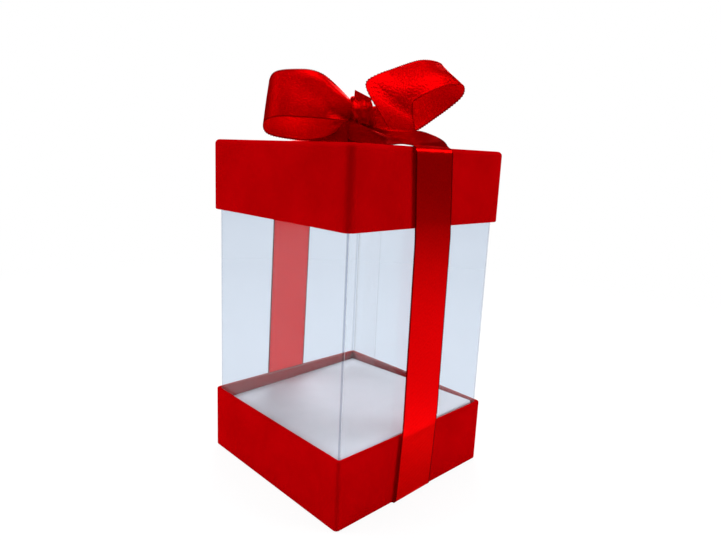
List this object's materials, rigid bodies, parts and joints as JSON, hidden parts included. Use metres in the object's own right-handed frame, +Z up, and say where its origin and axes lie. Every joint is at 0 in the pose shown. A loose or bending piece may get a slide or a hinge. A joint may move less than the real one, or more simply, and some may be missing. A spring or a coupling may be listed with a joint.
{
  "type": "favor box",
  "caption": "Square gift box for party favours: clear folded sleeve between a red paper covered lid and base tray, white platform card inside, red satin ribbon tied in a bow on the lid.",
  "frame": {"origin": "middle of the underside, on the table", "axes": "+Z up; the ribbon runs round the box in the plane x = 0, with its front run on the -Y face and its back run on the +Y face; the sleeve's seam is in the +X face"},
  "size_m": [0.078, 0.0786, 0.1584],
  "materials": {
    "red_paper": "smooth matt coated paper",
    "red_satin": "woven satin with a narrow selvedge",
    "clear_film": "clear glossy film",
    "clear_glue": "clear dried glue",
    "white_card": "smooth white card",
    "white_liner": "uncoated white paper",
    "grey_board": "recycled grey board",
    "stay_paper": "brown gummed paper"
  },
  "bodies": {
    "base": {"base_board": "grey_board", "base_corner_stays": "stay_paper", "base_wrap": "red_paper", "base_liner": "white_liner", "ribbon_under_run": "red_satin", "ribbon_front_lower": "red_satin", "ribbon_back_lower": "red_satin"},
    "platform": {"platform_card": "white_card"},
    "sleeve": {"sleeve": "clear_film", "sleeve_seam_glue": "clear_glue"},
    "lid": {"lid_board": "grey_board", "lid_corner_stays": "stay_paper", "lid_wrap": "red_paper", "lid_liner": "white_liner", "ribbon_front_upper": "red_satin", "ribbon_back_upper": "red_satin", "ribbon_top_front": "red_satin", "ribbon_top_back": "red_satin", "bow_left_loop": "red_satin", "bow_right_loop": "red_satin", "bow_knot": "red_satin", "bow_tail": "red_satin"}
  },
  "joints": [
    {"name": "sleeve_lift", "type": "slide", "parent": "base", "child": "sleeve", "axis": [0, 0, 1], "range_m": [0, 0.03], "deforming": ["ribbon_front_lower", "ribbon_back_lower"]},
    {"name": "lid_lift", "type": "slide", "parent": "sleeve", "child": "lid", "axis": [0, 0, 1], "range_m": [0, 0.04], "deforming": ["ribbon_front_upper", "ribbon_back_upper"]},
    {"name": "platform_lift", "type": "slide", "parent": "base", "child": "platform", "axis": [0, 0, 1], "range_m": [0, 0.06]}
  ]
}
